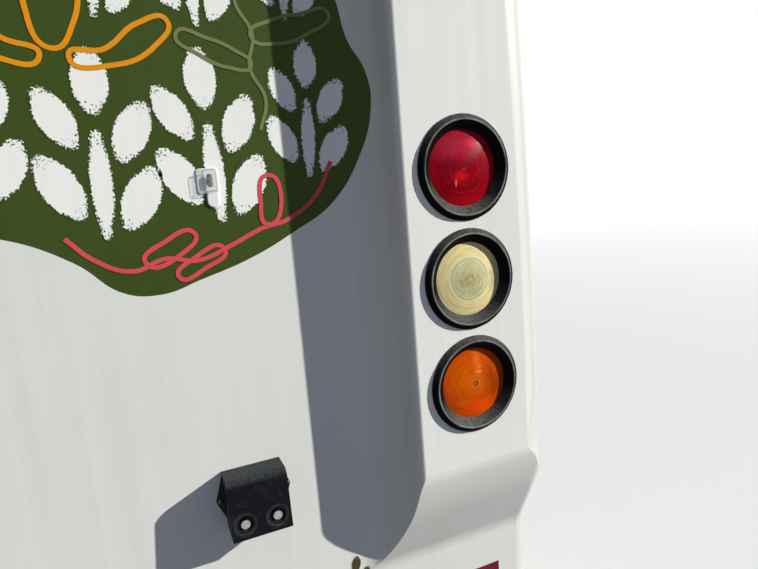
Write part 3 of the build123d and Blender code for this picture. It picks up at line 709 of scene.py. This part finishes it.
ear_reach = 0.0432
ear_front = -0.2045
ear_outline = [  # right half of the plate behind the housing, x and z from its middle
    (0.0, 0.036), (0.0366, 0.036), (0.0464, 0.0045), (0.0478, 0.0),
    (0.0464, -0.0045), (0.0366, -0.027), (0.0, -0.027),
]
plate_bevel = 0.0008
smooth_under = math.radians(35)
screw_radius, screw_height, socket_radius = 0.0034, 0.0022, 0.0016
socket_depth = screw_height * 0.5
screw_steps = (  # how far the top of a screw's head steps in and up, from its edge to its socket
    (screw_radius * 0.14, screw_height * 0.3), (screw_radius * 0.24, screw_height * 0.18),
    (screw_radius * 0.62 - socket_radius * 0.5, screw_height * 0.02),
)
screw_rise = 0.0008
for side_name, side in hands.items():
    dress(f"{side_name}_sensor_housing", black_plastic)
    dress(f"{side_name}_sensor_discs", disc_metal)
    low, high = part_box(f"{side_name}_sensor_housing")
    middle = (low + high) / 2
    outline = ear_outline + [(-x, z) for x, z in reversed(ear_outline[1:-1])]
    plate = drawn_curve(f"{side_name}_sensor_plate", [[(middle.x + x, middle.z + z) for x, z in outline]])
    sharpen(plate, range(len(outline)))
    settle(plate, Matrix.Translation((0.0, high.y, 0.0)) @ Matrix.Rotation(math.radians(90), 4, "X"))
    bpy.ops.object.mode_set(mode="EDIT")
    bpy.ops.mesh.select_mode(type="VERT")
    bpy.ops.mesh.select_all(action="SELECT")
    bpy.ops.mesh.remove_doubles(threshold=weld_gap)
    bpy.ops.mesh.dissolve_limited(angle_limit=math.radians(1))
    bpy.ops.mesh.select_all(action="SELECT")
    bpy.ops.mesh.edge_face_add()
    bpy.ops.mesh.extrude_region_move(TRANSFORM_OT_translate={"value": (0.0, ear_front - high.y, 0.0)})
    bpy.ops.mesh.bevel(offset=plate_bevel, segments=2)
    bpy.ops.mesh.select_all(action="SELECT")
    bpy.ops.mesh.normals_make_consistent(inside=False)
    bpy.ops.object.mode_set(mode="OBJECT")
    bpy.ops.object.shade_smooth_by_angle(angle=smooth_under)
    plate.data.materials.clear()
    plate.data.materials.append(black_plastic)
    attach(plate, "root")
    for end in (-1, 1):
        deselect_all()
        bpy.ops.mesh.primitive_cylinder_add(vertices=24, radius=screw_radius, depth=screw_height / 2)
        screw = bpy.context.object
        screw.name = f"{side_name}_sensor_screw_{'outer' if end * side > 0 else 'inner'}"
        select_faces(screw, lambda face: face.normal.z > 0.9)
        for step_in, step_up in screw_steps:
            bpy.ops.mesh.inset(thickness=step_in, depth=step_up)
        bpy.ops.mesh.extrude_region_move(TRANSFORM_OT_translate={"value": (0.0, 0.0, -socket_depth)})
        bpy.ops.object.mode_set(mode="OBJECT")
        screw.matrix_world = Matrix.Translation(
            (middle.x + end * ear_reach, ear_front, middle.z + screw_rise)
        ) @ Matrix.Rotation(math.radians(90), 4, "X")
        bpy.ops.object.transform_apply()
        bpy.ops.object.shade_smooth_by_angle(angle=smooth_under)
        screw.data.materials.append(screw_metal)
        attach(screw, "root")


# Small lamps beside the columns. A white base with a tongue is screwed to the wall, and a clear
# lens snaps over its bulb. The lens has yellowed a little, and a thin line along the edges of its
# face is darker and less clear.

white_plastic, shader, tree = finish_material("white_plastic", srgb(238, 239, 240), 0.4)
where = own_coordinates(tree)
aged = noise(tree, where, 30.0)
paint(tree, shader, blend_colours(tree, aged, srgb(243, 244, 246), srgb(226, 227, 226)))
clear_plastic, shader, tree = finish_material(
    "clear_plastic", srgb(216, 218, 214), 0.08, IOR=1.49, Coat_Weight=0.3, Coat_Roughness=0.05)
where = own_coordinates(tree)
facing = split(tree, surface_normal(tree))["Y"]
face_middle, face_half_width, face_half_height = 0.7819, 0.0075, 0.01275
place = split(tree, where)
beside_face = math_step(tree, "SUBTRACT", math_step(tree, "ABSOLUTE", place["X"]), face_middle)
off_face = math_step(tree, "ABSOLUTE", beside_face)
small_low, small_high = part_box("right_small_lamp_lens")
small_height = (small_low.z + small_high.z) / 2
above_face = math_step(tree, "ABSOLUTE", math_step(tree, "SUBTRACT", place["Z"], small_height))
reach = math_step(tree, "MAXIMUM", math_step(tree, "DIVIDE", off_face, face_half_width),
                  math_step(tree, "DIVIDE", above_face, face_half_height))
back_depth, front_depth = 0.0011, 0.0006
at_front = ramp(tree, place["Y"], small_low.y + back_depth, small_low.y + front_depth)
# A thin line round the edges of the face is darker and less clear.
outline = math_step(tree, "MULTIPLY", ramp(tree, reach, 0.86, 0.93), ramp(tree, reach, 1.12, 1.06))
frame_line = math_step(tree, "MULTIPLY", at_front, outline)
clear_rim = ramp(tree, facing, -0.97, -0.75, 0.03, 0.1)
clouded_line = math_step(tree, "MULTIPLY", frame_line, 0.6)
tree.links.new(math_step(tree, "MAXIMUM", clear_rim, clouded_line), shader.inputs["Alpha"])
haze = noise(tree, where, 240.0, detail=3.0)
hazy = blend_colours(tree, haze, srgb(232, 234, 230), srgb(190, 192, 186))
paint(tree, shader, blend_colours(tree, frame_line, hazy, srgb(104, 108, 102)))
roughen(tree, shader, noise(tree, where, 120.0, detail=1.0), strength=0.15, distance=0.0004)

bulb_glass, shader, tree = finish_material("bulb_glass", srgb(96, 106, 92), 0.12, Coat_Weight=0.3, Alpha=0.75)
smoke = noise(tree, own_coordinates(tree), 380.0, detail=3.0)
paint(tree, shader, blend_colours(tree, smoke, srgb(122, 132, 118), srgb(48, 58, 46)))
bulb_radius, bulb_half_length, bulb_rise = 0.0033, 0.0078, 0.4
bulb_waist, bulb_depth = bulb_radius * 0.1, 0.0029
for side_name, side in hands.items():
    dress(f"{side_name}_small_lamp_base", white_plastic)
    dress(f"{side_name}_small_lamp_lens", clear_plastic)
    deselect_all()
    bpy.ops.mesh.primitive_uv_sphere_add(segments=24, ring_count=13, radius=bulb_radius)
    bulb = bpy.context.object
    bulb.name = f"{side_name}_small_lamp_bulb"
    for end in (-1, 1):
        select_faces(bulb, lambda face: face.center.z * end > bulb_waist)
        bpy.ops.transform.translate(value=(0.0, 0.0, end * (bulb_half_length - bulb_radius)))
        bpy.ops.object.mode_set(mode="OBJECT")
    bulb.matrix_world = Matrix.Translation(
        (side * face_middle, small_low.y + bulb_depth, small_height)
    ) @ Matrix.Diagonal((1.0, bulb_rise, 1.0, 1.0))
    bpy.ops.object.transform_apply()
    bpy.ops.object.shade_smooth()
    bulb.data.materials.append(bulb_glass)
    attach(bulb, "root")


# Marker lamps over the window. A black base on the wall carries a domed red lens, ribbed upright
# on its inner face. Its plastic has dulled in the weather.

marker_plastic, shader, tree = finish_material(
    "marker_plastic", srgb(186, 8, 24), 0.14, Transmission_Weight=0.2, IOR=1.49, Specular_IOR_Level=0.35,
    Coat_Weight=0.15, Coat_Roughness=0.06)
where = own_coordinates(tree)
rib_pitch = 0.005
ribs = math_step(tree, "PINGPONG", math_step(tree, "DIVIDE", split(tree, where)["X"], rib_pitch), 0.5)
dull = noise(tree, where, 60.0, detail=3.0)
red = blend_colours(tree, dull, srgb(196, 8, 26), srgb(162, 6, 20))
shaded = ramp(tree, ribs, 0.0, 0.2, 0.5, 0.0)
paint(tree, shader, blend_colours(tree, shaded, red, srgb(96, 2, 10)))
roughen(tree, shader, ribs, strength=0.4, distance=0.0006)
for name in ("left_clearance", "left_marker", "middle_marker", "right_marker", "right_clearance"):
    dress(f"{name}_base", black_plastic)
    dress(f"{name}_lens", marker_plastic)


# Studio. A pale floor that fades to white with distance and throws little light back, a key light
# from high on the right, a wide low fill from the front and an even sky. The camera stands where
# the photographer stood.

def seen_directly(tree):
    """One for the rays of the camera, of mirrors and of glass, and nought for all others."""
    seen = put(tree, "ShaderNodeLightPath").outputs
    mirrored = math_step(tree, "MAXIMUM", seen["Is Glossy Ray"], seen["Is Transmission Ray"])
    return math_step(tree, "MAXIMUM", seen["Is Camera Ray"], mirrored)


pure_white = (1.0, 1.0, 1.0, 1.0)
floor_size = 60.0
floor_gap = 0.0005
fade_starts, fade_ends = 3.0, 9.0
deselect_all()
bpy.ops.mesh.primitive_plane_add(size=floor_size, location=(0.0, 0.0, cad_low[2] - floor_gap))
floor = bpy.context.object
floor.name = "studio_floor"
floor_paint, shader, tree = finish_material("floor_paint", srgb(226, 225, 221), 0.85)
distance = vector_step(tree, "LENGTH", own_coordinates(tree), output="Value")
far_off = ramp(tree, distance, fade_starts, fade_ends)
white_light = put(tree, "ShaderNodeEmission", None, Color=pure_white, Strength=1.0).outputs["Emission"]
ground = put(tree, "ShaderNodeBsdfDiffuse", None, Color=(0.1, 0.1, 0.1, 1.0)).outputs["BSDF"]
fading = put(tree, "ShaderNodeMixShader", None, Fac=far_off, i1=shader.outputs["BSDF"], i2=white_light)
mixed = put(tree, "ShaderNodeMixShader", None, Fac=seen_directly(tree), i1=ground,
            i2=fading.outputs["Shader"])
tree.links.new(mixed.outputs["Shader"], tree.nodes["Material Output"].inputs["Surface"])
floor.data.materials.append(floor_paint)
floor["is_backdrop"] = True

key_travel = Vector((-2.17, 1.0, -0.99))
bpy.ops.object.light_add(type="SUN", location=(3.0, -3.0, 3.0))
key = bpy.context.object
key.name = "key_light"
key.rotation_euler = key_travel.to_track_quat("-Z", "Y").to_euler()
key.data.energy = 5.75
key.data.angle = math.radians(0.7)
key.data.color = (1.0, 0.975, 0.905)

fill_travel = Vector((0.15, -1.0, -0.14))
bpy.ops.object.light_add(type="SUN", location=(0.0, 4.0, 2.0))
fill = bpy.context.object
fill.name = "front_fill_light"
fill.rotation_euler = fill_travel.to_track_quat("-Z", "Y").to_euler()
fill.data.energy = 1.7
fill.data.angle = math.radians(40)

world = bpy.data.worlds.new("even_sky")
bpy.context.scene.world = world
world.use_nodes = True
tree = world.node_tree
sky = tree.nodes["Background"]
sky.inputs["Color"].default_value = (0.87, 1.0, 1.38, 1.0)
sky.inputs["Strength"].default_value = 0.255
backdrop = put(tree, "ShaderNodeBackground", None, Color=pure_white, Strength=1.0)
mixed = put(tree, "ShaderNodeMixShader", None, Fac=seen_directly(tree), i1=sky.outputs["Background"],
            i2=backdrop.outputs["Background"])
tree.links.new(mixed.outputs["Shader"], tree.nodes["World Output"].inputs["Surface"])

photo_width = 758
focal_pixels = 569.5
sensor_width = 36.0
camera_place = Vector((0.6894, -0.9066, 0.8207))
pitch, yaw, roll = math.radians(9.68), math.radians(22.96), math.radians(-4.59)
forward = Vector((math.sin(yaw) * math.cos(pitch), math.cos(yaw) * math.cos(pitch), -math.sin(pitch)))
level_right = Vector((math.cos(yaw), -math.sin(yaw), 0.0))
level_up = level_right.cross(forward)
camera_right = level_right * math.cos(roll) + level_up * math.sin(roll)
camera_up = level_up * math.cos(roll) - level_right * math.sin(roll)
bpy.ops.object.camera_add()
camera = bpy.context.object
axes = Matrix((camera_right, camera_up, -forward)).transposed().to_4x4()
camera.matrix_world = Matrix.Translation(camera_place) @ axes
camera.data.sensor_width = sensor_width
camera.data.lens = focal_pixels / photo_width * sensor_width
bpy.context.scene.camera = camera
bpy.context.scene.view_settings.view_transform = "Standard"

low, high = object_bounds()
